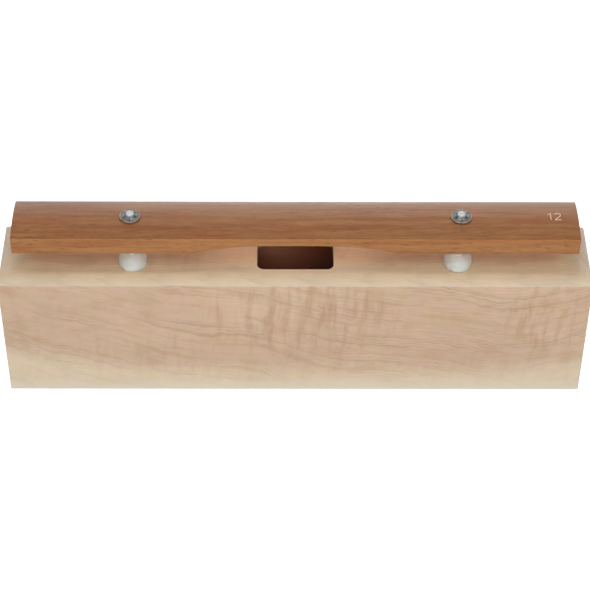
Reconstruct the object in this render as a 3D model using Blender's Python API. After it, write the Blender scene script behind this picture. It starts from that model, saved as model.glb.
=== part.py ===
"""Resonator bar: an arched wooden tone bar carried on two pins over a maple resonator box.

Metres, +Z up. The origin is on the surface the box stands on, under the middle of the box.
+X runs along the box to the right and +Y from its front to its back.
"""
import math

import bmesh
import bpy
from mathutils import Matrix, Vector

# Fits
SEAT = 0.0003             # between pieces that rest on each other or are glued together
SPIGOT_CLEAR = 0.0003     # post spigot in its hole, on the radius
PIN_CLEAR = 0.0003        # spacer tube and washer teeth around the pin, on the radius
BAR_HOLE_CLEAR = 0.0011   # bar hole around the pin, on the radius
BAR_LIFT = 0.0008         # free rise of the bar before its felt meets the washers

# Resonator box
BOX_LENGTH = 0.425
BOX_DEPTH = 0.064
BOX_HEIGHT = 0.1065
WALL = 0.008
TOP_BOARD = 0.004
BOTTOM_BOARD = 0.006
EDGE_EASE = 0.0009        # rounding of the outer arrises
SOUND_HOLE_LENGTH = 0.055
SOUND_HOLE_DEPTH = 0.028
SOUND_HOLE_CORNER = 0.005
POST_BLOCK_LENGTH = 0.036
POST_BLOCK_HEIGHT = 0.014

# Tone bar
BAR_LENGTH = 0.400
BAR_WIDTH = 0.041
BAR_EDGE = 0.0136         # height of the side faces
BAR_CROWN = 0.0027        # rise of the top from its edges to its centre line
BAR_FRONT_INSET = 0.0035  # front of the bar behind the front of the box
BAR_EASE = 0.0007         # rounding of the bar's arrises
ARCH_LENGTH = 0.145
ARCH_HEIGHT = 0.0073
ARCH_POWER = 3.0          # 2 is a parabola, more makes a flatter middle and steeper ends
PIN_SPACING = 0.234

# Posts and what sits on their pins
SPIGOT_RADIUS = 0.005
SPIGOT_LENGTH = 0.016
FOOT_RADIUS = 0.010
FOOT_HEIGHT = 0.0095
FOOT_DOME = 0.0045        # height of the foot's domed top, from its straight side to the pin
NECK_LENGTH = 0.0056      # bare pin between the foot and the collar
COLLAR_RADIUS = 0.005
COLLAR_HEIGHT = 0.0015
PIN_RADIUS = 0.0029
PIN_PROUD = 0.0033        # pin end above the washer's rim
PIN_DOME = 0.0016
SPACER_WALL = 0.0018
SPACER_LENGTH = 0.0102
SPOT_FACE_DEPTH = 0.0008  # flat seat for the felt, below the crown of the bar
SPOT_FACE_MARGIN = 0.0006
FELT_THICKNESS = 0.0006
FELT_INSET = 0.0008       # felt ring's edge inside the washer's edge
WASHER_RADIUS = 0.0075
WASHER_THICKNESS = 0.0005
TOOTH_COUNT = 6
TOOTH_LENGTH = 0.0018
TOOTH_RISE = 0.0012
TOOTH_TURN = -22.5        # degrees about the pin; a slot between two teeth faces the front
DISH_WIDTH = 0.0005       # bend between the teeth and the flat rim

# Facets
TURN_STEPS = 32
TOOTH_STEPS = 6           # steps of arc in one tooth
SLOT_STEPS = 2            # steps of arc in one slot between teeth
CROWN_STEPS = 12
ARCH_STEPS = 22
ARC_STEPS = 5             # steps in a quarter of a rounded corner or dome
CUT_PAST = 0.002          # how far a cutter runs past the faces it cuts

# Heights that follow from the stack on each pin
FOOT_LOW = BOX_HEIGHT + SEAT
FOOT_TOP = FOOT_LOW + FOOT_HEIGHT
COLLAR_LOW = FOOT_TOP + NECK_LENGTH
COLLAR_TOP = COLLAR_LOW + COLLAR_HEIGHT
SPACER_LOW = COLLAR_TOP + SEAT
SPACER_TOP = SPACER_LOW + SPACER_LENGTH
BAR_LOW = SPACER_TOP + SEAT
BAR_TOP = BAR_LOW + BAR_EDGE + BAR_CROWN
SPOT_FACE = BAR_TOP - SPOT_FACE_DEPTH
FELT_LOW = SPOT_FACE + SEAT
FELT_TOP = FELT_LOW + FELT_THICKNESS
WASHER_LOW = FELT_TOP + BAR_LIFT + SEAT
WASHER_TOP = WASHER_LOW + WASHER_THICKNESS
PIN_TOP = WASHER_TOP + PIN_PROUD

# Places and radii that follow
PIN_Y = -BOX_DEPTH / 2 + BAR_FRONT_INSET + BAR_WIDTH / 2
INNER_X = BOX_LENGTH / 2 - WALL
INNER_Y = BOX_DEPTH / 2 - WALL
BAR_HOLE_RADIUS = PIN_RADIUS + BAR_HOLE_CLEAR
SPACER_BORE = PIN_RADIUS + PIN_CLEAR
SPOT_FACE_RADIUS = WASHER_RADIUS + SPOT_FACE_MARGIN
SIDES = {"left": -1, "right": 1}


def clear_scene():
    for item in list(bpy.data.objects):
        bpy.data.objects.remove(item, do_unlink=True)


def make_material(name, colour, roughness, metallic=0.0):
    material = bpy.data.materials.new(name)
    material.use_nodes = True
    shader = material.node_tree.nodes["Principled BSDF"]
    shader.inputs["Base Color"].default_value = (*colour, 1.0)
    shader.inputs["Roughness"].default_value = roughness
    shader.inputs["Metallic"].default_value = metallic
    return material


def make_empty(name, location):
    empty = bpy.data.objects.new(name, None)
    empty.location = location
    bpy.context.collection.objects.link(empty)
    return empty


def place(name, bm, material, location, parent):
    """Turn a finished bmesh into an object whose origin is at a world location."""
    bmesh.ops.recalc_face_normals(bm, faces=bm.faces)
    mesh = bpy.data.meshes.new(name)
    bm.to_mesh(mesh)
    bm.free()
    mesh.shade_smooth()
    mesh.set_sharp_from_angle(angle=math.radians(30))
    item = bpy.data.objects.new(name, mesh)
    item.data.materials.append(material)
    bpy.context.collection.objects.link(item)
    item.parent = parent
    item.location = Vector(location) - parent.location
    return item


def hide_cutter(item):
    item.hide_render = True
    item.display_type = "WIRE"


def cut(item, cutter):
    modifier = item.modifiers.new(cutter.name, "BOOLEAN")
    modifier.operation = "DIFFERENCE"
    modifier.solver = "EXACT"
    modifier.object = cutter


def is_box_arris(point):
    """True where a point lies on two or more of the finished box's outer planes."""
    near = 1e-6
    planes = [
        abs(abs(point.x) - BOX_LENGTH / 2) < near,
        abs(abs(point.y) - BOX_DEPTH / 2) < near,
        abs(point.z) < near,
        abs(point.z - BOX_HEIGHT) < near,
    ]
    return sum(planes) >= 2


def board(name, low, high, material, parent):
    """A board between two world corners, with the arrises of the finished box eased."""
    low = Vector(low)
    high = Vector(high)
    centre = (low + high) / 2
    bm = bmesh.new()
    bmesh.ops.create_cube(bm, size=1.0, matrix=Matrix.Diagonal((*(high - low), 1.0)))
    arrises = [
        edge for edge in bm.edges
        if is_box_arris((edge.verts[0].co + edge.verts[1].co) / 2 + centre)
    ]
    if arrises:
        bmesh.ops.bevel(
            bm, geom=arrises, offset=EDGE_EASE, segments=2, profile=0.5, affect="EDGES"
        )
    return place(name, bm, material, centre, parent)


def arc(centre, radii, start, end):
    """Points of an elliptical arc in a profile plane, with angles in degrees."""
    angles = [math.radians(start + (end - start) * k / ARC_STEPS) for k in range(ARC_STEPS + 1)]
    return [
        (centre[0] + radii[0] * math.cos(a), centre[1] + radii[1] * math.sin(a)) for a in angles
    ]


def turned(name, profile, material, location, parent):
    """A body turned about Z from (radius, height) points; a ring's profile repeats its start."""
    bm = bmesh.new()
    verts = [bm.verts.new((radius, 0.0, height)) for radius, height in profile]
    edges = [bm.edges.new(pair) for pair in zip(verts, verts[1:])]
    bmesh.ops.spin(
        bm, geom=verts + edges, cent=(0, 0, 0), axis=(0, 0, 1),
        angle=2 * math.pi, steps=TURN_STEPS, use_merge=True,
    )
    bmesh.ops.remove_doubles(bm, verts=bm.verts, dist=1e-7)
    return place(name, bm, material, location, parent)


def tube_profile(bore, radius, length):
    return [(bore, 0.0), (radius, 0.0), (radius, length), (bore, length), (bore, 0.0)]


def build_box(maple, parent):
    """Front and back run full length, the ends stand between them, and all four are full height.

    The top and bottom boards are let in between the four, flush with their edges.
    """
    half_x = BOX_LENGTH / 2
    half_y = BOX_DEPTH / 2
    board("front_wall", (-half_x, -half_y, 0), (half_x, -INNER_Y, BOX_HEIGHT), maple, parent)
    board("back_wall", (-half_x, INNER_Y, 0), (half_x, half_y, BOX_HEIGHT), maple, parent)
    end_y = INNER_Y - SEAT
    board("left_end", (-half_x, -end_y, 0), (-INNER_X, end_y, BOX_HEIGHT), maple, parent)
    board("right_end", (INNER_X, -end_y, 0), (half_x, end_y, BOX_HEIGHT), maple, parent)
    let_in_x = INNER_X - SEAT
    top_low = BOX_HEIGHT - TOP_BOARD
    board("bottom_board", (-let_in_x, -end_y, 0), (let_in_x, end_y, BOTTOM_BOARD), maple, parent)
    top = board(
        "top_board", (-let_in_x, -end_y, top_low), (let_in_x, end_y, BOX_HEIGHT), maple, parent
    )
    cut(top, sound_hole_cutter(maple, parent))
    block_top = top_low - SEAT
    for side, sign in SIDES.items():
        middle = sign * PIN_SPACING / 2
        block = board(
            side + "_post_block",
            (middle - POST_BLOCK_LENGTH / 2, -end_y, block_top - POST_BLOCK_HEIGHT),
            (middle + POST_BLOCK_LENGTH / 2, end_y, block_top),
            maple, parent,
        )
        cutter = spigot_cutter(side, (middle, PIN_Y, BOX_HEIGHT), maple, parent)
        cut(top, cutter)
        cut(block, cutter)


def sound_hole_cutter(material, parent):
    """A rounded rectangle through the top board, centred on the box."""
    straight_x = SOUND_HOLE_LENGTH / 2 - SOUND_HOLE_CORNER
    straight_y = SOUND_HOLE_DEPTH / 2 - SOUND_HOLE_CORNER
    radii = (SOUND_HOLE_CORNER, SOUND_HOLE_CORNER)
    outline = []
    for start, sign_x, sign_y in ((0, 1, 1), (90, -1, 1), (180, -1, -1), (270, 1, -1)):
        outline += arc((sign_x * straight_x, sign_y * straight_y), radii, start, start + 90)
    bm = bmesh.new()
    rim = bm.faces.new([bm.verts.new((x, y, 0.0)) for x, y in outline])
    raised = bmesh.ops.extrude_face_region(bm, geom=[rim])["geom"]
    height = TOP_BOARD + 2 * CUT_PAST
    lifted = [item for item in raised if isinstance(item, bmesh.types.BMVert)]
    bmesh.ops.translate(bm, verts=lifted, vec=(0, 0, height))
    low = BOX_HEIGHT - TOP_BOARD - CUT_PAST
    cutter = place("sound_hole_cut", bm, material, (0, 0, low), parent)
    hide_cutter(cutter)
    return cutter


def spigot_cutter(side, location, material, parent):
    """The hole for a post's spigot, through the top board and the block under it."""
    radius = SPIGOT_RADIUS + SPIGOT_CLEAR
    low = -TOP_BOARD - SEAT - POST_BLOCK_HEIGHT - CUT_PAST
    profile = [(0, CUT_PAST), (radius, CUT_PAST), (radius, low), (0, low)]
    cutter = turned(side + "_spigot_cut", profile, material, location, parent)
    hide_cutter(cutter)
    return cutter


def arch_rise(x):
    """Height of the bar's underside above its flat ends, at a distance along it."""
    share = min(1.0, abs(x) / (ARCH_LENGTH / 2))
    return ARCH_HEIGHT * (1.0 - share ** ARCH_POWER)


def bar_section(x, inset):
    """The bar's outline across its width: flat underside, plain sides and a crowned top."""
    half = BAR_WIDTH / 2 - inset
    low = arch_rise(x) + inset
    side = BAR_EDGE - inset
    flat = half - BAR_EASE
    crown_radius = (half ** 2 + BAR_CROWN ** 2) / (2 * BAR_CROWN)
    ease = (BAR_EASE, BAR_EASE)
    front = arc((-flat, low + BAR_EASE), ease, 270, 180)
    crown = []
    for k in range(CROWN_STEPS + 1):
        y = flat * (2 * k / CROWN_STEPS - 1)
        crown.append((y, side + BAR_CROWN - crown_radius + math.sqrt(crown_radius ** 2 - y ** 2)))
    corner = [(-half, side - BAR_EASE), (-half + 0.3 * BAR_EASE, side - 0.15 * BAR_EASE)]
    back_corner = [(-y, z) for y, z in reversed(corner)]
    back = [(-y, z) for y, z in reversed(front)]
    return front + corner + crown + back_corner + back


def build_bar(wood, parent):
    """The bar, lofted along X and drilled for its pins; its origin is under its middle."""
    end = BAR_LENGTH / 2
    stations = [(-end, BAR_EASE), (-end + BAR_EASE, 0.0)]
    for k in range(ARCH_STEPS + 1):
        stations.append((ARCH_LENGTH * (k / ARCH_STEPS - 0.5), 0.0))
    stations += [(end - BAR_EASE, 0.0), (end, BAR_EASE)]
    bm = bmesh.new()
    loops = []
    for x, inset in stations:
        loops.append([bm.verts.new((x, y, z)) for y, z in bar_section(x, inset)])
    count = len(loops[0])
    for first, second in zip(loops, loops[1:]):
        for k in range(count):
            after = (k + 1) % count
            bm.faces.new((first[k], first[after], second[after], second[k]))
    bm.faces.new(loops[0])
    bm.faces.new(loops[-1])
    bar = place("tone_bar", bm, wood, (0, PIN_Y, BAR_LOW), parent)
    for side, sign in SIDES.items():
        location = (sign * PIN_SPACING / 2, PIN_Y, BAR_LOW)
        cut(bar, pin_hole_cutter(side, location, wood, parent))


def pin_hole_cutter(side, location, material, parent):
    """A pin hole through the bar with a flat seat sunk in the crown around it."""
    seat = SPOT_FACE - BAR_LOW
    top = BAR_TOP - BAR_LOW + CUT_PAST
    profile = [
        (0, top), (SPOT_FACE_RADIUS, top), (SPOT_FACE_RADIUS, seat), (BAR_HOLE_RADIUS, seat),
        (BAR_HOLE_RADIUS, -CUT_PAST), (0, -CUT_PAST),
    ]
    cutter = turned(side + "_pin_cut", profile, material, location, parent)
    hide_cutter(cutter)
    return cutter


def post_profile():
    """Spigot, foot, collar and pin in one moulding, from the spigot's end up to the domed pin end.

    The collar carries the spacer tube and the spacer tube carries the bar.
    """
    foot_low = FOOT_LOW - BOX_HEIGHT
    foot_top = FOOT_TOP - BOX_HEIGHT
    collar_low = COLLAR_LOW - BOX_HEIGHT
    collar_top = COLLAR_TOP - BOX_HEIGHT
    pin_top = PIN_TOP - BOX_HEIGHT
    dome_radii = (FOOT_RADIUS - PIN_RADIUS, FOOT_DOME)
    profile = [(0, -SPIGOT_LENGTH), (SPIGOT_RADIUS, -SPIGOT_LENGTH), (SPIGOT_RADIUS, foot_low)]
    profile.append((FOOT_RADIUS, foot_low))
    profile += arc((PIN_RADIUS, foot_top - FOOT_DOME), dome_radii, 0, 90)
    profile += [(PIN_RADIUS, collar_low), (COLLAR_RADIUS, collar_low)]
    profile += [(COLLAR_RADIUS, collar_top), (PIN_RADIUS, collar_top)]
    pin_end = arc((0, pin_top - PIN_DOME), (PIN_RADIUS, PIN_DOME), 0, 90)
    pin_end[-1] = (0, pin_top)
    return profile + pin_end


def washer_height(radius, bore, root):
    """Underside of the washer above its rim: flat rim, then teeth rising to the pin."""
    bend = root + DISH_WIDTH
    return TOOTH_RISE * max(0.0, (bend - radius) / (bend - bore))


def build_washer(side, location, steel, parent):
    """A pressed washer whose inner teeth are bent up and bite on the pin."""
    bore = PIN_RADIUS + PIN_CLEAR
    root = bore + TOOTH_LENGTH
    bend = root + DISH_WIDTH
    radii = [bore, (bore + root) / 2, root, bend, WASHER_RADIUS]
    pitch_steps = TOOTH_STEPS + SLOT_STEPS
    columns = TOOTH_COUNT * pitch_steps
    rings = len(radii) - 1
    root_ring = radii.index(root)

    def filled(ring, column):
        if not 0 <= ring < rings:
            return False
        return ring >= root_ring or column % pitch_steps < TOOTH_STEPS

    bm = bmesh.new()
    verts = {}

    def corner(ring, column, level):
        key = (ring, column % columns, level)
        if key not in verts:
            angle = 2 * math.pi * column / columns + math.radians(TOOTH_TURN)
            radius = radii[ring]
            height = washer_height(radius, bore, root) + level * WASHER_THICKNESS
            verts[key] = bm.verts.new((radius * math.cos(angle), radius * math.sin(angle), height))
        return verts[key]

    def wall(first, second):
        bm.faces.new((corner(*first, 0), corner(*second, 0), corner(*second, 1), corner(*first, 1)))

    for ring in range(rings):
        for column in range(columns):
            if not filled(ring, column):
                continue
            around = [(ring, column), (ring + 1, column), (ring + 1, column + 1), (ring, column + 1)]
            for level in (0, 1):
                bm.faces.new([corner(*spot, level) for spot in around])
            if not filled(ring - 1, column):
                wall((ring, column), (ring, column + 1))
            if not filled(ring + 1, column):
                wall((ring + 1, column), (ring + 1, column + 1))
            if not filled(ring, column - 1):
                wall((ring, column), (ring + 1, column))
            if not filled(ring, column + 1):
                wall((ring, column + 1), (ring + 1, column + 1))
    place(side + "_star_washer", bm, steel, location, parent)


def build_supports(nylon, rubber, felt, steel, box_root, bar_root):
    """Each pin carries a spacer tube, the bar, a felt ring and a toothed washer, going up."""
    spacer = tube_profile(SPACER_BORE, SPACER_BORE + SPACER_WALL, SPACER_LENGTH)
    felt_ring = tube_profile(BAR_HOLE_RADIUS, WASHER_RADIUS - FELT_INSET, FELT_THICKNESS)
    for side, sign in SIDES.items():
        x = sign * PIN_SPACING / 2
        turned(side + "_post", post_profile(), nylon, (x, PIN_Y, BOX_HEIGHT), box_root)
        turned(side + "_spacer", spacer, rubber, (x, PIN_Y, SPACER_LOW), box_root)
        turned(side + "_felt_ring", felt_ring, felt, (x, PIN_Y, FELT_LOW), bar_root)
        build_washer(side, (x, PIN_Y, WASHER_LOW), steel, box_root)


def main():
    clear_scene()
    maple = make_material("maple", (0.60, 0.43, 0.28), 0.5)
    bar_wood = make_material("bar_wood", (0.30, 0.125, 0.055), 0.42)
    nylon = make_material("white_nylon", (0.72, 0.70, 0.62), 0.4)
    rubber = make_material("white_rubber", (0.62, 0.60, 0.54), 0.7)
    felt = make_material("dark_felt", (0.05, 0.045, 0.04), 0.95)
    steel = make_material("blackened_steel", (0.16, 0.15, 0.14), 0.4, 1.0)
    box_root = make_empty("resonator_box", (0, 0, 0))
    bar_root = make_empty("bar_axis", (0, PIN_Y, BAR_LOW))
    build_box(maple, box_root)
    build_bar(bar_wood, bar_root)
    build_supports(nylon, rubber, felt, steel, box_root, bar_root)


main()
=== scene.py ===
"""Looks of the resonator bar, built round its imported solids. Metres, in the part's own frame."""
from math import atan2, cos, degrees, pi, radians, sin, sqrt

import bmesh
import bpy
from mathutils import Matrix, Vector, noise


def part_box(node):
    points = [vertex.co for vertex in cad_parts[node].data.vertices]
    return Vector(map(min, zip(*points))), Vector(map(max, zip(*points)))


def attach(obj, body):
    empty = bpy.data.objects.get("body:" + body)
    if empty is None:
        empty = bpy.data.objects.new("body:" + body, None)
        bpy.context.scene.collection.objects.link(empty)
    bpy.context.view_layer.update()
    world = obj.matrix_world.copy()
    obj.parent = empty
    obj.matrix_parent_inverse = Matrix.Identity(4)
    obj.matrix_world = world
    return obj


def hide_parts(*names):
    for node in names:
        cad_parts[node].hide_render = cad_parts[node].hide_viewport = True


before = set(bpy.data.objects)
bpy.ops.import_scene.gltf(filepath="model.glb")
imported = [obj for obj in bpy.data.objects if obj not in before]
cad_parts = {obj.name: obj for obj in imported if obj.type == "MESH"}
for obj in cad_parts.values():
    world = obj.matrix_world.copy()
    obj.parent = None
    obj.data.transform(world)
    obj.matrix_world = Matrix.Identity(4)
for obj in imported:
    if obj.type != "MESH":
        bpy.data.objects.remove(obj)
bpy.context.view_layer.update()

# Sizes that the solids have too
SEAT = 0.0003
EDGE_EASE = 0.0009
HOLE_SIZE = (0.055, 0.028)
HOLE_CORNER = 0.005
BAR_SIDE = 0.0136
BAR_CROWN = 0.0027
BAR_EASE = 0.0007
ARCH_HALF = 0.0725
ARCH_HEIGHT = 0.0073
ARCH_POWER = 3.0
SPIGOT_RADIUS = 0.005
SPIGOT_HOLE = 0.0053
FOOT_RADIUS = 0.01
FOOT_HEIGHT = 0.0095
FOOT_DOME = 0.0045
NECK_LENGTH = 0.0056
COLLAR_RADIUS = 0.005
COLLAR_HEIGHT = 0.0015
PIN_RADIUS = 0.0029
PIN_DOME = 0.0016
SPACER_RADII = (0.0032, 0.005)
BAR_HOLE_RADIUS = 0.004
FELT_RADII = (0.004, 0.0067)
WASHER_RADIUS = 0.0075
WASHER_THICKNESS = 0.0005
TOOTH_COUNT = 6
TOOTH_BORE = 0.0032
TOOTH_ROOT = 0.005
TOOTH_BEND = 0.0055
TOOTH_RISE = 0.0012
TOOTH_TURN = -22.5

# Finish of the modelled pieces
GLUE_LINE = 0.00002
RIM_EASE = 0.0007
SPOT_FACE_RADIUS = 0.0077
MOULD_EASE = 0.0004
SPIGOT_CHAMFER = 0.0006
SPACER_BULGE = 0.0002
SPACER_LIP = 0.0003
SPACER_BORE_LIP = (0.0003, 0.0004)
WASHER_EASE = 0.00009
# Felt: rounding, fuzz and its grain, height that stays flat, most rise over the top
FELT_EASE = 0.00022
FELT_FUZZ = 0.00006
FELT_FUZZ_GRAIN = 2400
FELT_FLAT = 0.0001
FELT_PROUD = 0.00008

# Washer rings from the bore out: radius, rise over the flat rim; the teeth end at the root ring
WASHER_RINGS = (
    (TOOTH_BORE, TOOTH_RISE), (0.0041, 0.00078), (TOOTH_ROOT, 0.00026), (TOOTH_BEND, 0.00003),
    (0.0062, 0.0), (0.007, 0.0), (WASHER_RADIUS, 0.0),
)
ROOT_RING = 2

# Engraved number: left end, low end, height, groove's radius and the share of it over the crown
NUMBER_LEFT = 0.1784
NUMBER_LOW = -0.0019
NUMBER_TALL = 0.007
GROOVE_RADIUS = 0.00042
GROOVE_PROUD = 0.35
# Its figures, from the left end: the one's stem and flag, the two's bowl and foot
STEM_X = 0.002
FLAG_SHARE = 0.72
BOWL_X = 0.0068
BOWL_RADIUS = 0.0021
BOWL_SHARE = 0.3
BOWL_TURN = (165, -35)
TWO_FOOT = (0.0047, 0.0093)

# Steps and angles of the meshes
BAR_STEP = 0.0025
CROWN_STEPS = 28
TURN_STEPS = 96
FELT_STEPS = 144
ARC_STEPS = 6
WIDE_ARC_STEPS = 10
DOME_STEPS = 20
FELT_ARC_STEPS = 3
GROOVE_STEPS = 12
SPACER_STEPS = 16
TOOTH_STEPS = 6
SLOT_STEPS = 2
ARRIS_STEPS = 4
CUT_PAST = 0.003
SAME_POINT = 1e-7
SAME_PLANE = 1e-6
SMOOTH_ANGLE = 32.0
WASHER_SMOOTH = 60.0
KEEN_ANGLE = 50.0

# Camera, from the photograph's own edges
CAMERA_PLACE = (-0.0085, -1.0543, 1.0731)
CAMERA_PITCH = 43.667
CAMERA_YAW = 0.46
CAMERA_ROLL = -0.4
CAMERA_LENS = 120.27
CAMERA_SENSOR = 36.0

# World light: two heights in the sky, and the strength at each
AMBIENT = (0.1, 0.9, 0.06, 0.25)
GLOSS = (0.0, 0.8, 2.25, 0.12)
# Floor: half width, drop below the part, paint, and two distances with the glow at each
FLOOR_REACH = 8.0
FLOOR_DROP = 0.0004
FLOOR_PAINT = (0.8, 0.8, 0.8)
FLOOR_GLOW = (0.7, 2.2, 0.66, 1.0)
WHITE = (1.0, 1.0, 1.0)
# Lamps: place, size, power, whether gloss shows them
LAMP_AIM = Vector((0.0, 0.0, 0.1))
LAMPS = {
    "key": ((-0.05, -0.55, 1.62), (0.36, 0.26), 8.5, True),
    "front_fill": ((0.1, -1.28, 1.62), (2.2, 0.9), 29.5, True),
    "overhead": ((0.0, 0.5, 1.55), (1.8, 0.6), 5.6, False),
    "back_sheen": ((0.0, 1.9, 0.62), (3.2, 0.6), 4.0, True),
    "back_fill": ((0.0, 1.5, 0.26), (2.4, 0.4), 5.0, False),
}

SIDES = ("left", "right")
BOX_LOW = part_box("front_wall")[0]
BOX_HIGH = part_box("back_wall")[1]
BOX_SPAN = (BOX_LOW.x, BOX_HIGH.x)
BAR_LOW, BAR_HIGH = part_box("tone_bar")
BAR_MIDDLE = (BAR_LOW + BAR_HIGH) / 2
BAR_HALF = (BAR_HIGH.y - BAR_LOW.y) / 2
BAR_UNDER = BAR_LOW.z
PINS = {side: sum(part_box(side + "_post"), Vector()) / 2 for side in SIDES}
PIN_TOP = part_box("left_post")[1].z
SPOT_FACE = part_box("left_felt_ring")[0].z - SEAT


def add_node(tree, kind, **settings):
    made = tree.nodes.new("ShaderNode" + kind)
    for key, value in settings.items():
        setattr(made, key, value)
    return made


def feed(socket, value):
    if isinstance(value, bpy.types.NodeSocket):
        socket.id_data.links.new(value, socket)
    elif isinstance(value, tuple) and len(value) == 3 and socket.type == "RGBA":
        socket.default_value = (*value, 1.0)
    else:
        socket.default_value = value


def fill(node, inputs):
    """Feeds a node's inputs by name and returns its outputs."""
    for key, value in inputs.items():
        feed(node.inputs[key], value)
    return node.outputs


def tree_of(*values):
    """The node tree that the values come from."""
    return next(value.id_data for value in values if isinstance(value, bpy.types.NodeSocket))


def call(kind, *values, **settings):
    """The first output of a new node whose inputs take the values in order."""
    made = add_node(tree_of(*values), kind, **settings)
    for socket, value in zip(made.inputs, values):
        feed(socket, value)
    return made.outputs[0]


def coordinates(holder):
    """Gives a material or world its nodes; returns the outputs with a point's coordinates."""
    holder.use_nodes = True
    return add_node(holder.node_tree, "TexCoord").outputs


def new_material(name):
    """A material, and the output with the place of a point on it."""
    material = bpy.data.materials.new(name)
    return material, coordinates(material)["Object"]


def op(operation, *values, clamp=False):
    return call("Math", *values, operation=operation, use_clamp=clamp)


def less(value, part):
    return op("SUBTRACT", value, part)


def absolute(value):
    return op("ABSOLUTE", value)


def greater(first, second):
    return op("MAXIMUM", first, second)


def smaller(first, second):
    return op("MINIMUM", first, second)


def total(*values):
    result = values[0]
    for value in values[1:]:
        result = op("ADD", result, value)
    return result


def times(*values):
    result = values[0]
    for value in values[1:]:
        result = op("MULTIPLY", result, value)
    return result


def length(*values):
    return op("SQRT", total(*(times(value, value) for value in values)))


def ease(value, low, high, start=0.0, end=1.0):
    """A smooth step from start to end as a value goes from low to high."""
    return call("MapRange", value, low, high, start, end, interpolation_type="SMOOTHSTEP")


def combine(*values):
    return call("CombineXYZ", *values)


def separate(vector):
    return fill(add_node(vector.id_data, "SeparateXYZ"), {"Vector": vector})


def noise_at(vector, scales, detail=2.0, roughness=0.5):
    """Noise from 0 to 1 round 0.5, whose grain is 1 / scale long on each axis."""
    place = call("VectorMath", vector, scales, operation="MULTIPLY")
    inputs = {"Vector": place, "Scale": 1.0, "Detail": detail, "Roughness": roughness}
    return fill(add_node(vector.id_data, "TexNoise", noise_dimensions="3D"), inputs)[0]


def swing(value, amount):
    """A 0 to 1 value as a swing of plus or minus half the amount."""
    return times(less(value, 0.5), amount)


def rings(value, spacing, width):
    """1 on thin lines at uneven steps of a value, 0 between them."""
    made = add_node(
        value.id_data, "TexVoronoi", voronoi_dimensions="1D", feature="DISTANCE_TO_EDGE"
    )
    inputs = {"W": value, "Scale": 1.0 / spacing, "Randomness": 0.85}
    return ease(fill(made, inputs)["Distance"], 0.0, width, 1.0, 0.0)


def sawtooth(value, peak, end):
    """A quick rise and a slow fall in each whole step of a value."""
    share = op("FRACT", value)
    return times(ease(share, 0.0, peak), ease(share, peak, end, 1.0, 0.0))


def curve(value, points, value_range, out_range):
    """A drawn curve: points are (value, result) inside the two ranges."""
    made = add_node(value.id_data, "FloatCurve")
    low, high = value_range
    bottom, top = out_range
    line = made.mapping.curves[0]
    spots = [((x - low) / (high - low), (y - bottom) / (top - bottom)) for x, y in points]
    line.points[0].location = spots[0]
    line.points[1].location = spots[-1]
    for spot in spots[1:-1]:
        line.points.new(*spot)
    made.mapping.update()
    share = op("DIVIDE", less(value, low), high - low, clamp=True)
    drawn = fill(made, {"Value": share})[0]
    return total(times(drawn, top - bottom), bottom)


def patch(across, up, centre, reach):
    """1 in the middle of an oval patch, fading to 0 past its edge."""
    squares = []
    for value, middle, half in zip((across, up), centre, reach):
        share = op("DIVIDE", less(value, middle), half)
        squares.append(times(share, share))
    return ease(total(*squares), 0.25, 1.35, 1.0, 0.0)


def mix(factor, first, second, blend="MIX"):
    """A blend of two colours, which are the node's seventh and eighth inputs."""
    tree = tree_of(factor, first, second)
    made = add_node(tree, "Mix", data_type="RGBA", blend_type=blend)
    for place, value in ((0, factor), (6, first), (7, second)):
        feed(made.inputs[place], value)
    return made.outputs[2]


def shade(colour, tone):
    """A colour times a grey tone."""
    return mix(1.0, colour, combine(tone, tone, tone), "MULTIPLY")


def bump(height, distance, strength=1.0, **under):
    inputs = {"Height": height, "Distance": distance, "Strength": strength, **under}
    return fill(add_node(height.id_data, "Bump"), inputs)[0]


def seen_white(tree):
    """1 for camera, glossy and transmission rays."""
    rays = add_node(tree, "LightPath").outputs
    mirrored = greater(rays["Is Glossy Ray"], rays["Is Transmission Ray"])
    return greater(rays["Is Camera Ray"], mirrored)


def cover(output, shader):
    """Makes a shader the whole surface."""
    fill(shader.id_data.nodes[output], {"Surface": shader})


def finish(material, colour, roughness, normal, **inputs):
    """Feeds the material's own shader; a further input's name has _ for each space."""
    named = {key.replace("_", " "): value for key, value in inputs.items()}
    named.update({"Base Color": colour, "Roughness": roughness, "Normal": normal})
    fill(material.node_tree.nodes["Principled BSDF"], named)
    return material


class Wood:
    """What the two woods share: a material, a point's parts and normal, and listed noises."""

    NOISE = {}

    def __init__(self, name):
        self.material = bpy.data.materials.new(name)
        coords = coordinates(self.material)
        self.place = self.grain = coords["Object"]
        self.parts = separate(self.place)
        self.normals = separate(coords["Normal"])

    def layer(self, key, vector=None):
        """One of the listed noises, along the grain if no vector is given."""
        return noise_at(self.grain if vector is None else vector, *self.NOISE[key])


# How far the growth rings drop along a board
FRONT_DROP = (
    (-0.2125, 0.0), (-0.2, 0.0055), (-0.178, 0.018), (-0.163, 0.021), (-0.14, 0.028),
    (-0.125, 0.033), (-0.11, 0.039), (-0.095, 0.047), (-0.07, 0.051), (-0.026, 0.056),
    (-0.012, 0.063), (0.011, 0.072), (0.03, 0.078), (0.075, 0.083), (0.11, 0.087),
    (0.14, 0.095), (0.156, 0.098), (0.172, 0.096), (0.191, 0.091), (0.2125, 0.084),
)
PLAIN_DROP = (
    (-0.2125, 0.0), (-0.12, 0.006), (-0.03, 0.003), (0.05, 0.009), (0.15, 0.005), (0.2125, 0.01)
)
DROP_RANGE = (0.0, 0.1)
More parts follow.
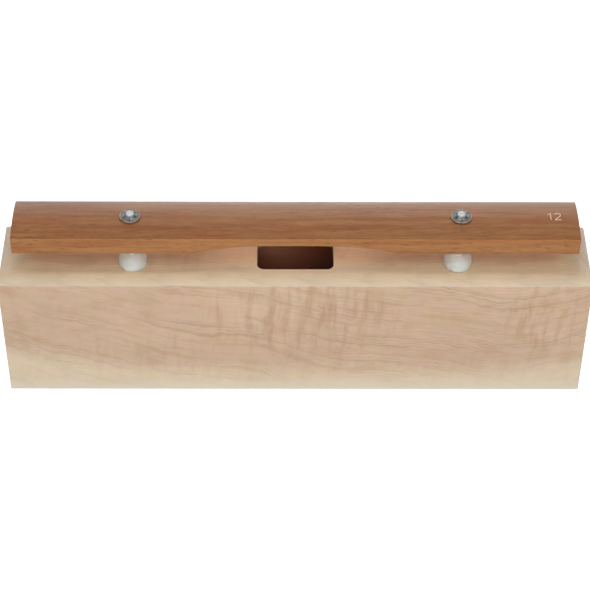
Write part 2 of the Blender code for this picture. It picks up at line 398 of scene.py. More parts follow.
# Height up to which a board is sapwood, along its grain, and the fade round that height
FRONT_SAP = (
    (-0.2125, 0.045), (-0.19, 0.041), (-0.157, 0.034), (-0.101, 0.026), (-0.046, 0.023),
    (0.009, 0.0225), (0.065, 0.0225), (0.12, 0.024), (0.175, 0.028), (0.2125, 0.033),
)
BACK_SAP = ((-0.2125, 0.006), (-0.08, 0.012), (0.04, 0.024), (0.13, 0.019), (0.2125, 0.01))
NO_SAP = ((-0.2125, -0.04), (0.2125, -0.04))
SAP_RANGE = (-0.05, 0.1)
SAP_FADE = (-0.016, 0.009)
# Rings: spacing, how they lean and bow through the board, and how boards differ by seed
RING_SPACING = 1 / 112.0
FINE_SPACING = 0.0027
RING_LEAN = 0.35
RING_BOW = 9.0
RING_SEED = 0.61
DEPTH_SEED = 0.37
# Figured patches of the front: middle, half sizes; the curl's lean from upright
FRONT_CURL = (((0.005, 0.078), (0.075, 0.048)), ((0.182, 0.072), (0.03, 0.042)))
CURL_LEAN = -0.08
# Where painted shade turns the deck redder below the bar, and painted light and shade across the deck,
# front to back
DECK_SHADE = ((-0.0115, -0.001), (0.01, 0.022))
DECK_SHADE_TINT = (1.14, 0.942, 0.875)
DECK_LIGHT_CURVE = (
    (-0.032, 0.98), (-0.0175, 0.99), (-0.0138, 1.03), (-0.0095, 1.13), (-0.005, 1.09),
    (0.0, 1.0), (0.016, 1.02), (0.032, 0.98),
)
# Painted light in an oval round the sound hole, and the pale rim of the hole
HOLE_PAINTED_LIGHT = ((0.0, 0.009), (0.08, 0.025))
HOLE_RIM = (0.66, 0.53, 0.39)
# Sawn upper edges: colour at the deck and at the outer arris; the front edge's lighter arris end is
# painted light, away from the bar's shade
EDGE_WIDTH = 0.0142
WALL_EDGE = ((0.54, 0.42, 0.28), (0.62, 0.55, 0.406))
END_EDGE = ((0.555, 0.425, 0.275), (0.45, 0.37, 0.29))
# Distances from the box's middle over which the deck's margins take the walls' and ends' colour
DECK_JOINT = (0.0172, 0.0184)
END_JOINT = (0.1914, 0.1994)
# Painted shade of the box's inside, lighter where light comes in through the hole: at the left and
# right, low and high, and its painted light by height
LINING_SHADE = ((0.428, 0.147, 0.072), (0.182, 0.028, 0.006))
LINING_SHADE_HUE = ((1.0, 0.74, 0.6), (1.0, 1.3, 1.55))
LINING_LIGHT = (
    (0.0, 0.45), (0.066, 0.45), (0.071, 0.47), (0.0762, 0.53), (0.0813, 0.66), (0.0865, 1.05),
    (0.0915, 1.45), (0.0965, 1.7), (0.1065, 1.2),
)
# Heartwood, and the other tones of maple as shares of it
HEART = (0.6, 0.426, 0.297)
FRONT_HEART = (0.543, 0.393, 0.271)
DECK_HEART = (0.547, 0.429, 0.277)
MAPLE_TONES = {
    "pale": (1.04, 1.04, 1.04), "pink": (0.97, 0.93, 0.93), "brown": (0.67, 0.58, 0.51),
    "amber": (0.85, 0.74, 0.62), "bloom": (1.23, 1.4, 1.48),
}
MAPLE_DRIFT = ((1.012, 0.988, 1.0), (0.986, 1.01, 0.956))
# Painted floor-bounce light on the upright faces' lower ends
FLOOR_BOUNCE_LIGHT = (0.7, 0.65, 0.56)
# Arrises paler from wear and from a painted highlight
ARRIS_WEAR_AND_HIGHLIGHT = (0.52, 0.46, 0.4)
MAPLE_END_GRAIN = (0.42, 0.265, 0.155)
# How squarely a face points along an axis to count as end grain, sawn edge or level
END_FACE = (0.6, 0.9)
SAWN_FACE = (0.75, 0.97)
LEVEL_FACE = (0.3, 0.7)


class Maple(Wood):
    """Satin maple. axes are the place's parts along the grain, up the face and through the board."""

    # Grain per metre along, up and through the board, then detail and roughness
    NOISE = {
        "wave": ((20, 30, 30), 2.0, 0.45), "long_ripple": ((95, 60, 60), 1.0),
        "short_ripple": ((210, 100, 100), 1.0), "wander": ((16, 34, 34), 1.0),
        "group": ((8, 62, 1), 2.0, 0.55), "broken": ((60, 240, 1), 2.0, 0.6),
        "pace": ((6, 40, 1), 1.0), "band": ((5, 150, 1), 3.0, 0.6),
        "curls": ((150, 20, 30), 3.0, 0.55), "curl_flecks": ((340, 52, 60), 2.0, 0.6),
        "curl_places": ((7, 13, 13), 1.0), "fibre": ((55, 1300, 1300), 3.0, 0.6),
        "fleck": ((260, 1700, 1700), 1.0), "blotch": ((9, 20, 20), 3.0, 0.55),
        "cloud": ((34, 46, 46), 3.0, 0.55), "mottle": ((170, 300, 300), 2.0, 0.6),
        "crimp": ((310, 80, 80), 1.0), "feather": ((42, 1, 380), 2.0, 0.6),
        "warmth": ((42, 62, 62), 2.0), "scuff": ((160, 160, 160), 3.0, 0.6),
        "drift": ((64, 90, 90), 2.0),
    }

    def __init__(self, name, axes, seed, drop=PLAIN_DROP, sap=NO_SAP, figure=(), deck=False):
        super().__init__(name)
        self.seed = seed
        self.deck = deck
        self.along, self.rise, self.depth = (self.parts[axis] for axis in axes)
        self.start = total(self.along, seed)
        deep = total(self.depth, DEPTH_SEED * seed)
        self.grain = combine(self.start, self.rise, deep)
        facing = [absolute(part) for part in self.normals]
        self.end_grain = ease(facing[axes[0]], *END_FACE)
        self.upright = ease(facing[2], *LEVEL_FACE, 1.0, 0.0)
        self.ahead = times(self.parts[1], -1.0)
        self.long_edge = ease(self.ahead, *DECK_JOINT)
        self.sawn = self.long_edge if deck else ease(facing[axes[1]], *SAWN_FACE)
        self.face = less(1.0, self.sawn)
        self.nearest, self.second = self.face_depths()
        self.wander = swing(self.layer("wander"), 0.007)
        self.fibre = self.layer("fibre")
        self.fleck = ease(self.layer("fleck"), 0.66, 0.76)
        self.grow(drop)
        self.ripen(sap)
        self.curl(figure)

    def face_depths(self):
        """Distances to the box's nearest outer face and to the next one, which is its arris."""
        middle = (BOX_LOW + BOX_HIGH) / 2
        half = (BOX_HIGH - BOX_LOW) / 2
        places = zip(self.parts, middle, half)
        x, y, z = (less(end, absolute(less(part, centre))) for part, centre, end in places)
        first, last = smaller(x, y), greater(x, y)
        return smaller(first, z), greater(first, smaller(last, z))

    def grow(self, drop):
        """Growth rings: late wood, fine lines and tonal bands that drop along the board."""
        wave = swing(self.layer("wave"), 0.009)
        ripple = total(
            swing(self.layer("long_ripple"), 0.0034), swing(self.layer("short_ripple"), 0.0028)
        )
        self.uneven = total(times(ripple, 1.6), wave)
        run = curve(self.along, drop, BOX_SPAN, DROP_RANGE)
        bow = times(self.depth, self.depth, RING_BOW)
        lean = times(self.depth, RING_LEAN)
        ring = total(self.rise, run, bow, lean, wave, ripple, RING_SEED * self.seed)
        flow = combine(self.start, ring, 0.0)
        group = ease(self.layer("group", flow), 0.4, 0.66)
        broken = ease(self.layer("broken", flow), 0.36, 0.6)
        pace = swing(self.layer("pace", flow), 1.2)
        late = sawtooth(total(times(ring, 1 / RING_SPACING), pace), 0.06, 0.42)
        self.line = times(late, total(0.3, group))
        dense = ease(self.along, 0.01, 0.09, 0.15, 0.5)
        self.fine = times(rings(ring, FINE_SPACING, 0.46), total(dense, group), broken)
        self.band = swing(self.layer("band", flow), 0.16)

    def ripen(self, sap):
        """Sapwood up to a height along the board; rings and curl show less in it."""
        top = curve(self.along, sap, BOX_SPAN, SAP_RANGE)
        over = less(total(self.rise, self.uneven), top)
        self.sapwood = ease(over, *SAP_FADE, 1.0, 0.0)
        self.hard = times(self.face, less(1.0, times(self.sapwood, 0.8)))

    def curl(self, figure):
        """Curly figure: bands across the grain, strongest in the figured patches."""
        lean = times(self.rise, CURL_LEAN)
        slant = combine(total(self.along, lean, self.seed, self.wander), self.rise, self.depth)
        self.curls = self.layer("curls", slant)
        flecks = swing(self.layer("curl_flecks", slant), 0.4)
        where = times(ease(self.layer("curl_places", slant), 0.38, 0.66), 0.45)
        for centre, reach in figure:
            where = greater(where, patch(self.along, self.rise, centre, reach))
        self.curled = times(total(swing(self.curls, 1.0), flecks), where, self.hard)

    def torn(self):
        """Tone of the sawn edges: torn fibres, and facets at a slant."""
        skew = combine(self.along, 0.0, total(self.depth, times(self.along, 0.05)))
        feather = swing(self.layer("feather", skew), 0.22)
        steps = total(times(self.along, 27.0), times(self.depth, 44.0), times(self.wander, 60.0))
        flake = times(sawtooth(steps, 0.05, 0.45), -0.075)
        return times(total(feather, flake, 0.015), self.sawn)

    def hole_distance(self):
        """Distance outside the sound hole's outline."""
        beyond = [
            greater(less(absolute(part), size / 2 - HOLE_CORNER), 0.0)
            for part, size in zip(self.parts, HOLE_SIZE)
        ]
        return less(length(*beyond), HOLE_CORNER)

    def dress_deck(self, colour, greyed):
        """The deck's painted light and shade: redder below the bar, lighter and darker across it,
        lighter round its hole; greyer at its ends, with a pale rim at the hole.
        """
        x, y = self.parts[0], self.parts[1]
        ahead, behind = DECK_SHADE
        # Painted shade: the deck turns redder below the bar
        under_bar_shade = times(ease(y, *ahead), ease(y, *behind, 1.0, 0.0))
        colour = mix(under_bar_shade, colour, DECK_SHADE_TINT, "MULTIPLY")
        # Painted light and shade across the deck, front to back
        painted_light_curve = curve(y, DECK_LIGHT_CURVE, (BOX_LOW.y, BOX_HIGH.y), (0.7, 1.3))
        # Painted light in an oval round the sound hole, where light passes under the arch
        arch_light = total(1.0, times(patch(x, y, *HOLE_PAINTED_LIGHT), 0.3))
        colour = shade(shade(colour, painted_light_curve), arch_light)
        colour = mix(ease(absolute(x), *END_JOINT), colour, greyed)
        rim = ease(self.hole_distance(), 0.0003, 0.0012, 0.55, 0.0)
        return mix(rim, colour, HOLE_RIM)

    def ground(self, tones):
        """Heartwood and sapwood, the deck's painted light and shade, and the sawn edges, the front one
        lighter towards its arris with painted light.
        """
        blotch = ease(self.layer("blotch"), 0.32, 0.68)
        colour = mix(blotch, tones["pink"], tones["pale"])
        colour = mix(times(self.sapwood, 0.95), colour, tones["bloom"])
        greyed = mix(ease(self.second, 0.0005, EDGE_WIDTH), END_EDGE[1], END_EDGE[0])
        # Painted light: the front edge gets lighter towards its outer arris; it is also darker towards
        # the box's ends
        edge_light = ease(self.ahead, DECK_JOINT[0], BOX_HIGH.y)
        darker_ends = ease(absolute(self.parts[0]), 0.135, 0.205, 1.0, 0.91)
        wall = shade(mix(edge_light, *WALL_EDGE), darker_ends)
        if self.deck:
            colour = self.dress_deck(colour, greyed)
        edge = mix(self.long_edge, greyed, wall)
        return mix(times(self.sawn, 0.94), colour, edge)

    def draw(self, colour, tones, lines):
        """Warm patches, rings, flecks and curl over the ground."""
        ringed = times(self.hard, lines)
        warm = ease(self.layer("warmth"), 0.5, 0.7)
        marks = (
            (warm, self.hard, 0.4, "amber"), (self.line, ringed, 0.32, "brown"),
            (self.fine, ringed, 0.42, "brown"), (self.fleck, ringed, 0.16, "brown"),
        )
        for mark, where, strength, tone in marks:
            colour = mix(times(mark, where, strength), colour, tones[tone])
        hollows = greater(times(self.curled, -3.0), 0.0)
        colour = mix(hollows, colour, tones["amber"])
        tone = total(
            1.0, times(self.curled, 0.42), times(self.band, ringed), self.torn(),
            swing(self.fibre, 0.13), swing(self.layer("mottle"), 0.08),
            swing(self.layer("cloud"), 0.12), swing(self.layer("crimp"), 0.05),
        )
        tint = mix(ease(self.layer("drift"), 0.36, 0.64), *MAPLE_DRIFT)
        return mix(self.face, shade(colour, tone), tint, "MULTIPLY")

    def wear(self, colour):
        """Painted floor-bounce light on the lower ends of the upright faces, arrises paler from wear
        and a painted highlight, and end grain.
        """
        # Painted light from the floor's bounce on the lower ends of the upright faces
        low = ease(self.parts[2], 0.0, 0.013, 0.66, 0.0)
        colour = mix(times(low, self.face, self.upright), colour, FLOOR_BOUNCE_LIGHT)
        arris = ease(self.second, 0.0004, 0.002, 1.0, 0.0)
        # Arrises paler from wear and a painted highlight
        wear_and_highlight = times(arris, self.layer("scuff", self.place), self.face, 0.3)
        colour = mix(wear_and_highlight, colour, ARRIS_WEAR_AND_HIGHLIGHT)
        return mix(times(self.end_grain, 0.55), colour, MAPLE_END_GRAIN)

    def stain_and_shade(self, colour):
        """Painted shade inside the box, lighter where light comes in through the hole."""
        x, height = self.parts[0], self.parts[2]
        # Painted light by height and from left to right, where light comes in through the hole
        strength = curve(height, LINING_LIGHT, (0.0, BOX_HIGH.z), (0.0, 3.0))
        stain_and_shade = shade(mix(ease(x, -0.022, 0.022), *LINING_SHADE), strength)
        hue = mix(ease(height, 0.074, 0.094), *LINING_SHADE_HUE)
        # Painted shade on the faces inside the box, the hole's walls too
        inside = times(ease(self.nearest, 0.0007, 0.0022), 0.9)
        return mix(inside, colour, mix(1.0, stain_and_shade, hue, "MULTIPLY"))

    def coat(self, heart=HEART, lines=1.0):
        tones = {
            key: tuple(share * part for share, part in zip(tone, heart))
            for key, tone in MAPLE_TONES.items()
        }
        colour = self.draw(self.ground(tones), tones, lines)
        colour = self.stain_and_shade(self.wear(colour))
        rough = total(0.44, swing(self.fibre, 0.1), swing(self.curls, 0.08))
        height = total(self.fibre, times(self.line, -0.6), times(self.fleck, -0.8))
        normal = bump(self.curled, 0.0006, 0.5, Normal=bump(height, 0.00003))
        return finish(self.material, colour, rough, normal, IOR=1.46)


# Two tones each of the bar's top and sides, its bare underside, its marks, and the painted grey sheen
# along its rear edge
BAR_TOP_TONES = ((0.23, 0.081, 0.028), (0.27, 0.122, 0.046))
BAR_SIDE_TONES = ((0.34, 0.136, 0.046), (0.398, 0.183, 0.066))
BAR_BARE = (0.6, 0.245, 0.078)
BAR_STREAK = (0.165, 0.056, 0.018)
BAR_PORE = (0.085, 0.029, 0.014)
BAR_REAR_SHEEN = (0.47, 0.41, 0.34)
BAR_END_GRAIN = (0.17, 0.065, 0.03)


class BarWood(Wood):
    """Satin red-brown hardwood with short dark streaks; its sides are sawn and less glossy."""

    NOISE = {
        "sway": ((22, 30, 30), 2.0), "run": ((3, 1, 1), 1.0), "line": ((12, 90, 90), 2.0),
        "stripe": ((6, 150, 150), 3.0, 0.6), "streak": ((72, 760, 760), 3.0, 0.6),
        "dash": ((105, 820, 820), 2.0, 0.5), "pore": ((150, 1500, 1500), 1.0, 0.4),
        "patches": ((9, 60, 60), 2.0), "tan": ((15, 260, 260), 3.0, 0.6),
        "blotch": ((12, 35, 35), 3.0, 0.55), "scuff": ((140, 140, 140), 3.0, 0.6),
    }

    def __init__(self, name):
        super().__init__(name)
        self.along, self.across, self.rise = self.parts
        self.upper = ease(self.normals[2], 0.55, 0.95)
        self.afar = ease(absolute(self.along), 0.08, 0.19)
        self.grow()

    def grow(self):
        """Rings, and streaks, dashes and pores along a gently swaying grain."""
        sway = swing(self.layer("sway", self.place), 0.0022)
        self.grain = combine(self.along, total(self.across, sway), total(self.rise, sway))
        lean = times(self.across, 0.55)
        bow = times(self.across, self.across, 6.0)
        run = times(self.layer("run", self.place), 0.012)
        ring = total(self.rise, lean, bow, sway, run)
        self.line = times(rings(ring, 0.0042, 0.4), self.layer("line"))
        self.streak = self.layer("streak")
        patches = ease(self.layer("patches"), 0.35, 0.65)
        dash = ease(self.layer("dash"), 0.54, 0.72)
        self.dash = times(dash, total(0.3, times(patches, 0.7)))
        pore = ease(self.layer("pore"), 0.615, 0.7)
        self.pore = times(pore, total(0.35, times(patches, 0.65)))

    def top(self, tan, blotch):
        """The oiled top, with painted shade darkening it to the front and back and a painted grey
        sheen along its rear edge.
        """
        colour = mix(tan, *BAR_TOP_TONES)
        colour = shade(colour, total(1.0, swing(blotch, 0.24)))
        # Painted shade: darker towards the front, and towards the back, most near the ends
        ahead = ease(self.across, BAR_LOW.y, BAR_MIDDLE.y, 0.9, 1.0)
        rear = ease(self.afar, 0.0, 1.0, 0.88, 0.74)
        behind = ease(self.across, BAR_MIDDLE.y - 0.004, BAR_HIGH.y, 1.0, rear)
        colour = shade(colour, times(ahead, behind))
        # Painted grey sheen along the rear edge, strongest in the middle
        rear_sheen = times(
            ease(self.across, BAR_HIGH.y - 0.006, BAR_HIGH.y - 0.0004),
            ease(self.along, -0.13, -0.03, 0.0, 0.45),
            ease(self.along, 0.03, 0.16, 1.0, 0.3),
        )
        return mix(rear_sheen, colour, BAR_REAR_SHEEN)

    def ground(self):
        """Oiled top, sawn sides and bare underside."""
        tan = ease(self.layer("tan"), 0.34, 0.66)
        blotch = self.layer("blotch", self.place)
        side = mix(tan, *BAR_SIDE_TONES)
        side = shade(side, total(1.0, swing(blotch, 0.1)))
        colour = mix(self.upper, side, self.top(tan, blotch))
        under = ease(self.normals[2], -0.9, -0.45, 1.0, 0.0)
        return mix(under, colour, BAR_BARE)

    def draw(self, colour):
        """Lines, dashes, pores and streaks, fainter on the sides, and end grain."""
        plain = ease(self.upper, 0.0, 1.0, 0.5, 1.0)
        colour = mix(times(self.line, plain, 0.3), colour, BAR_STREAK)
        colour = mix(times(self.dash, plain, 0.72), colour, BAR_STREAK)
        colour = mix(times(self.pore, 0.55), colour, BAR_PORE)
        tone = total(
            1.0, swing(self.layer("stripe"), 0.27), swing(self.layer("scuff", self.place), 0.06),
            times(swing(self.streak, 0.58), plain),
        )
        end_grain = ease(absolute(self.normals[0]), *END_FACE)
        return mix(times(end_grain, 0.5), shade(colour, tone), BAR_END_GRAIN)

    def coat(self):
        colour = self.draw(self.ground())
        rough = total(0.4, swing(self.streak, 0.14), times(self.pore, 0.2))
        height = total(times(self.streak, 0.6), times(self.pore, -0.5))
        lean = total(self.normals[2], times(self.normals[1], 0.25))
        polish = ease(self.afar, 0.0, 1.0, 0.8, 0.66)
        sheen = ease(lean, 0.87, 1.03, 0.14, polish)
        normal = bump(height, 0.00006)
        return finish(self.material, colour, rough, normal, IOR=1.5, Specular_IOR_Level=sheen)


# Moulded pieces: colour, roughness, strength of the specks, depth that light reaches
NYLON = ((0.7, 0.76, 0.735), 0.46, 0.05, 0.006)
RUBBER = ((0.7, 0.7, 0.65), 0.6, 0.08, 0.002)
SCATTER = (1.0, 0.95, 0.85)
# Painted light and shade on the moulded foot, by share of its height, and painted shade greying the
# pin above the bar
FOOT_PAINTED_LIGHT = (
    (0.0, 1.22), (0.32, 1.14), (0.55, 0.99), (0.72, 0.88), (0.82, 0.93), (0.91, 1.04), (1.0, 1.22)
)
PIN_SHADE_GREYS = ((0.37, 0.37, 0.4), (0.53, 0.505, 0.515))
FELT_BROWN = (0.17, 0.108, 0.074)
# Two tones each of the washer's teeth, darkened with painted shade, and of its rim, brown with a
# painted reflection of the wood; where the rim starts, and the scallops there
SHADED_TEETH_TONES = ((0.14, 0.175, 0.185), (0.215, 0.21, 0.195))
RIM_REFLECTION_TONES = ((0.205, 0.15, 0.112), (0.37, 0.27, 0.2))
RIM_START = (0.0055, 0.0068)
RIM_SCALLOP = 0.0007
RIM_DULL = (0.0064, 0.0074)
MARK_TONES = ((0.42, 0.3, 0.23), (0.62, 0.5, 0.42))


def moulded(name, colour, roughness, speck, depth):
    """Moulded plastic or rubber, lit through to a depth, mottled; painted light and shade by height on
    the foot, and painted shade greying the pin above the bar.
    """
    material, place = new_material(name)
    mottle = noise_at(place, (420, 420, 420), 3.0, 0.6)
    grit = noise_at(place, (3200, 3200, 3200), 2.0)
    tone = total(1.0, swing(mottle, speck), swing(grit, 0.5 * speck))
    height = separate(place)[2]
    # Painted shade: the pin greyer above the bar, darkest at its base
    pin_shade = mix(ease(height, BAR_HIGH.z, PIN_TOP), *PIN_SHADE_GREYS)
    pin_shade_mask = ease(height, BAR_UNDER, BAR_HIGH.z)
    shaded = mix(pin_shade_mask, shade(colour, tone), pin_shade, "MULTIPLY")
    # Painted light and shade by height on the foot, evening out its shading
    deck = BOX_HIGH.z
    fade = [(deck + share * FOOT_HEIGHT, level) for share, level in FOOT_PAINTED_LIGHT]
    foot_light = curve(height, fade, (deck, deck + FOOT_HEIGHT), (0.8, 1.3))
    rough = total(roughness, swing(mottle, 0.12))
    return finish(
        material, shade(shaded, foot_light), rough, bump(grit, 0.00003), IOR=1.5,
        Subsurface_Weight=1.0, Subsurface_Scale=depth, Subsurface_Radius=SCATTER,
    )


def felt(name):
    """Pressed felt: matted fibres, no gloss."""
    material, place = new_material(name)
    mat = noise_at(place, (2600, 2600, 900), 4.0, 0.7)
    tuft = noise_at(place, (700, 700, 700), 2.0)
    tone = total(0.7, times(mat, 0.5), swing(tuft, 0.4))
    colour = shade(FELT_BROWN, tone)
    return finish(material, colour, 0.96, bump(mat, 0.00012), Sheen_Weight=0.4)


def spring_steel(name):
    """Pressed spring steel: blue-grey teeth darkened with painted shade; a less metallic rim, brown
    with a painted reflection of the wood.
    """
    material, place = new_material(name)
    x, y = separate(place)[:2]
    across = less(absolute(x), PINS["right"].x)
    back = less(y, PINS["right"].y)
    reach = length(across, back)
    turn = times(op("ARCTAN2", back, across), float(TOOTH_COUNT))
    scallop = times(op("COSINE", turn), RIM_SCALLOP)
    rim = ease(total(reach, scallop), *RIM_START)
    mottle = noise_at(place, (900, 900, 900), 3.0, 0.6)
    scratch = noise_at(place, (260, 5200, 1500), 2.0)
    stain_and_shade = ease(noise_at(place, (520, 520, 520), 2.0), 0.36, 0.64)
    tone = total(1.0, swing(mottle, 0.9), swing(scratch, 0.3))
    # Painted shade on the teeth, painted reflection of the wood on the rim
    colour = mix(rim, mix(stain_and_shade, *SHADED_TEETH_TONES), mix(stain_and_shade, *RIM_REFLECTION_TONES))
    rough = total(0.44, swing(mottle, 0.24))
    normal = bump(mottle, 0.00025, 0.7, Normal=bump(scratch, 0.00003))
    metal = ease(reach, *RIM_DULL, 0.7, 0.1)
    return finish(material, shade(colour, tone), rough, normal, Metallic=metal)


def raw_mark(name):
    """Pale bare wood at the bottom of an engraved line."""
    material, place = new_material(name)
    burr = noise_at(place, (1500, 1500, 1500), 3.0, 0.6)
    return finish(material, mix(burr, *MARK_TONES), 0.8, bump(burr, 0.00005))


def add_object(name, data):
    made = bpy.data.objects.new(name, data)
    bpy.context.scene.collection.objects.link(made)
    return made


def mesh_object(name, bm, material):
    """Puts a mesh with one material into the scene, its faces turned outward."""
    bmesh.ops.recalc_face_normals(bm, faces=bm.faces)
    mesh = bpy.data.meshes.new(name)
    bm.to_mesh(mesh)
    bm.free()
    mesh.materials.append(material)
    return add_object(name, mesh)


def smooth(mesh, angle):
    mesh.shade_smooth()
    mesh.set_sharp_from_angle(angle=radians(angle))


def add_piece(name, bm, material, body, node, angle=SMOOTH_ANGLE):
    """Makes a mesh a named piece that rides a body and stands for its solid."""
    piece = mesh_object(name, bm, material)
    smooth(piece.data, angle)
    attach(piece, body)
    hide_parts(node)
    return piece


def carve(piece, cutters):
    """Cuts closed meshes, given as (bmesh, material) pairs, out of a piece."""
    made = [mesh_object("cut", bm, material) for bm, material in cutters]
    for cutter in made:
        modifier = piece.modifiers.new("cut", "BOOLEAN")
        modifier.operation = "DIFFERENCE"
        modifier.solver = "EXACT"
        modifier.material_mode = "TRANSFER"
        modifier.object = cutter
    graph = bpy.context.evaluated_depsgraph_get()
    mesh = bpy.data.meshes.new_from_object(piece.evaluated_get(graph))
    mesh.name = piece.name
    piece.modifiers.clear()
    piece.data = mesh
    smooth(mesh, SMOOTH_ANGLE)
    for cutter in made:
        bpy.data.objects.remove(cutter)


def arc(centre, radii, start, end, steps=ARC_STEPS):
    angles = [radians(start + (end - start) * k / steps) for k in range(steps + 1)]
    return [(centre[0] + radii[0] * cos(a), centre[1] + radii[1] * sin(a)) for a in angles]


def loft(loops):
    """A closed skin through loops of points; each loop has the same count."""
    bm = bmesh.new()
    rows = [[bm.verts.new(point) for point in loop] for loop in loops]
    count = len(rows[0])
    for first, second in zip(rows, rows[1:]):
        for k in range(count):
            after = (k + 1) % count
            bm.faces.new((first[k], first[after], second[after], second[k]))
    bm.faces.new(rows[0])
    bm.faces.new(rows[-1])
    return bm


def turned(profile, centre, steps=TURN_STEPS):
    """A body turned about a vertical line from (radius, height) points."""
    bm = bmesh.new()
    verts = [bm.verts.new((centre.x + radius, centre.y, height)) for radius, height in profile]
    edges = [bm.edges.new(pair) for pair in zip(verts, verts[1:])]
    bmesh.ops.spin(
        bm, geom=verts + edges, cent=(centre.x, centre.y, 0), axis=(0, 0, 1),
        angle=2 * pi, steps=steps, use_merge=True,
    )
    bmesh.ops.remove_doubles(bm, verts=bm.verts, dist=SAME_POINT)
    return bm


def on_arris(point):
    """True where a point lies on two of the finished box's outer planes."""
    sides = zip(point, BOX_LOW, BOX_HIGH)
    return sum(min(abs(x - low), abs(x - high)) < SAME_PLANE for x, low, high in sides) >= 2


def board(node, x=0.0, y=0.0, z=0.0):
    """A board with rounded outer arrises, grown on some axes to close the solids' glue gap."""
    low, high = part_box(node)
    close = Vector((x, y, z)) * (SEAT - GLUE_LINE)
    size = high - low + 2 * close
    place = Matrix.Translation((low + high) / 2) @ Matrix.Diagonal((*size, 1.0))
    bm = bmesh.new()
    bmesh.ops.create_cube(bm, size=1.0, matrix=place)
    arrises = [e for e in bm.edges if on_arris((e.verts[0].co + e.verts[1].co) / 2)]
    if arrises:
        bmesh.ops.bevel(
            bm, geom=arrises, offset=EDGE_EASE, segments=ARRIS_STEPS, profile=0.5, affect="EDGES"
        )
    return bm


def rounded_hole(offset, height):
    """The sound hole's outline at a height, widened all round by an offset."""
    corner = HOLE_CORNER + offset
    x, y = (size / 2 - HOLE_CORNER for size in HOLE_SIZE)
    outline = []
    for start, centre in ((0, (x, y)), (90, (-x, y)), (180, (-x, -y)), (270, (x, -y))):
        outline += arc(centre, (corner, corner), start, start + 90, WIDE_ARC_STEPS)
    return [(*point, height) for point in outline]


def sound_hole():
    """Cutter for the sound hole, flared at the top so that its rim comes out rounded."""
    top = BOX_HIGH.z
    loops = [rounded_hole(RIM_EASE, top + CUT_PAST)]
    for k in range(ARC_STEPS + 1):
        deep = RIM_EASE * k / ARC_STEPS
        flare = RIM_EASE - sqrt(RIM_EASE ** 2 - (RIM_EASE - deep) ** 2)
        loops.append(rounded_hole(flare, top - deep))
    loops.append(rounded_hole(0.0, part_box("top_board")[0].z - CUT_PAST))
    return loft(loops)


def round_cutter(centre, steps):
    """Closed cutter turned from (radius, height) steps."""
    return turned([(0.0, steps[0][1]), *steps, (0.0, steps[-1][1])], centre)


def build_box():
    """Front, back, ends, base and deck, and the blocks that hold the posts' spigots."""
    front = Maple("maple_front", (0, 2, 1), 0.0, FRONT_DROP, FRONT_SAP, FRONT_CURL).coat(FRONT_HEART)
    back = Maple("maple_back", (0, 2, 1), 3.1, sap=BACK_SAP).coat()
    ends = Maple("maple_end", (1, 2, 0), 5.3).coat()
    top = Maple("maple_top", (0, 1, 2), 7.7, deck=True).coat(DECK_HEART, lines=0.4)
    hidden = Maple("maple_inner", (0, 1, 2), 9.2).coat()

    def make(name, node, material, **close):
        return add_piece(name, board(node, **close), material, "resonator", node)

    make("front_panel", "front_wall", front)
    make("back_panel", "back_wall", back)
    make("left_panel", "left_end", ends, y=1)
    make("right_panel", "right_end", ends, y=1)
    make("base_panel", "bottom_board", hidden, x=1, y=1)
    deck = make("top_panel", "top_board", top, x=1, y=1)
    cutters = [(sound_hole(), top)]
    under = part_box("left_post_block")[0].z
    steps = ((SPIGOT_HOLE, BOX_HIGH.z + CUT_PAST), (SPIGOT_HOLE, under - CUT_PAST))
    for side in SIDES:
        cutters.append((round_cutter(PINS[side], steps), top))
        block = make(side + "_block", side + "_post_block", hidden, y=1, z=0.5)
        carve(block, [(round_cutter(PINS[side], steps), hidden)])
    carve(deck, cutters)


def arch_rise(x):
    """Height of the arched underside over its flat ends."""
    share = min(1.0, abs(x) / ARCH_HALF)
    return ARCH_HEIGHT * (1.0 - share ** ARCH_POWER)


def crown(y):
    """Height of the bar's top over its underside's flat ends, at a distance from its middle."""
    radius = (BAR_HALF ** 2 + BAR_CROWN ** 2) / (2 * BAR_CROWN)
    return BAR_SIDE + BAR_CROWN - radius + sqrt(radius ** 2 - y ** 2)


def bar_loop(x, inset):
    """The bar's outline across its width: flat underside, plain sides, crowned top."""
    low = arch_rise(x) + inset
    flat = BAR_HALF - inset - BAR_EASE
    rounding = (BAR_EASE, BAR_EASE)
    lower = arc((-flat, low + BAR_EASE), rounding, 270, 180)
    turn = atan2(crown(0) - crown(flat), flat) * 2 + pi / 2
    rim_y = -flat + BAR_EASE * cos(turn)
    rim_z = crown(rim_y) - inset
    upper = arc((-flat, rim_z - BAR_EASE * sin(turn)), rounding, 180, degrees(turn))
    top = []
    for k in range(1, CROWN_STEPS):
        y = rim_y * (1 - 2 * k / CROWN_STEPS)
        top.append((y, rim_z + crown(y) - crown(rim_y)))
    left = lower + upper
    outline = left + top + [(-y, z) for y, z in reversed(left)]
    return [(x, BAR_MIDDLE.y + y, BAR_UNDER + z) for y, z in outline]


def bar_stations():
    """(x, inset) along the bar; the insets round its end arrises."""
    end = BAR_HIGH.x
    ends = arc((end - BAR_EASE, BAR_EASE), (BAR_EASE, BAR_EASE), -90, 0)
    level = end - BAR_EASE - ARCH_HALF
    count = round(level / BAR_STEP)
    flat = [ARCH_HALF + level * k / count for k in range(count)]
    arched = round(ARCH_HALF / BAR_STEP)
    inner = [ARCH_HALF * k / arched for k in range(arched)]
    half = [(x, 0.0) for x in inner + flat] + ends
    return [(-x, inset) for x, inset in reversed(half[1:])] + half


